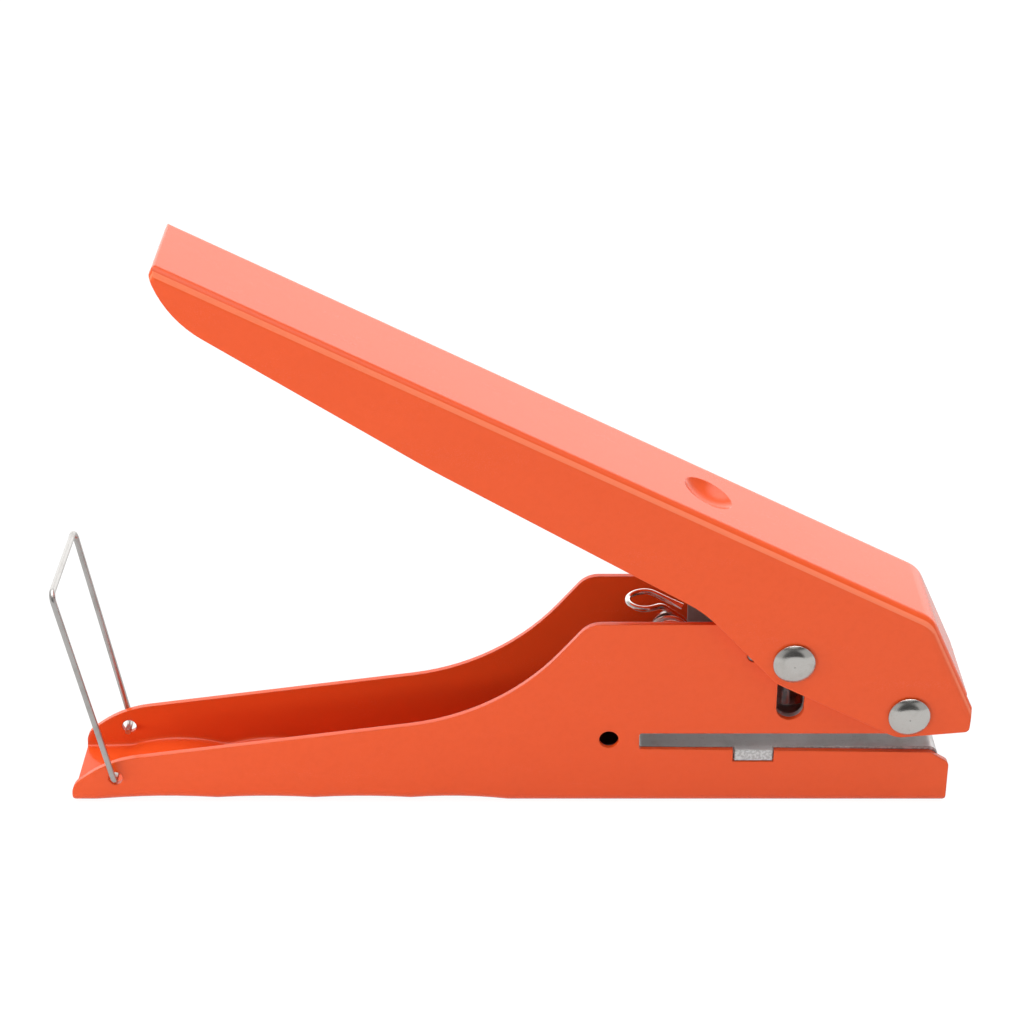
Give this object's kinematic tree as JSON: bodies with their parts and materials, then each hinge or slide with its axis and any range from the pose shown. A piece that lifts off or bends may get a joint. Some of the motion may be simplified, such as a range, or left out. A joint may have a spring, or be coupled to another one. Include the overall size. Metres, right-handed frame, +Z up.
{
  "type": "single hole punch",
  "caption": "Hand-held single hole punch of folded sheet steel with a lever, die plate, guided punch, return spring and wire lock bail",
  "frame": {"origin": "On the table under the middle of the base's length, at its flat underside", "axes": "+X points from the nose of the handle to the punching head, +Y across the punch to the far cheek, +Z up"},
  "size_m": [0.148, 0.0232, 0.0954],
  "materials": {
    "paint": "gloss enamel",
    "zinc": "bright zinc",
    "nickel": "bright nickel",
    "wire_steel": "drawn bright wire",
    "tool_steel": "ground"
  },
  "bodies": {
    "base": {"base_channel": "paint", "die_plate": "zinc", "guide_bracket": "zinc", "guide_bush": "tool_steel", "bracket_pin": "zinc", "spring_stud": "nickel", "return_spring": "wire_steel"},
    "pivot_carriage": {"pivot_rivet": "nickel"},
    "lever": {"lever": "paint"},
    "punch_group": {"punch": "tool_steel", "punch_rivet": "nickel"},
    "bail": {"lock_bail": "wire_steel"}
  },
  "joints": [
    {"name": "pivot_slide", "type": "slide", "parent": "base", "child": "pivot_carriage", "axis": [1, 0, 0], "range_m": [0, 0.00275]},
    {"name": "lever_hinge", "type": "hinge", "parent": "pivot_carriage", "child": "lever", "pos_m": [0.065, 0, 0.0179], "axis": [0, -1, 0], "range_deg": [0, 24.5], "stiffness_Nm_per_rad": 0.1, "springref_deg": -28.65, "deforming": ["return_spring"]},
    {"name": "punch_slide", "type": "slide", "parent": "base", "child": "punch_group", "axis": [0, 0, -1], "range_m": [0, 0.00882]},
    {"name": "bail_hinge", "type": "hinge", "parent": "base", "child": "bail", "pos_m": [-0.0651, 0, 0.0048], "axis": [0, -1, 0], "range_deg": [-86, 84]}
  ],
  "couplings": [
    {"joint": "pivot_slide", "follows": "lever_hinge", "m_per_rad": 0.00636},
    {"joint": "punch_slide", "follows": "lever_hinge", "m_per_rad": 0.020512}
  ]
}
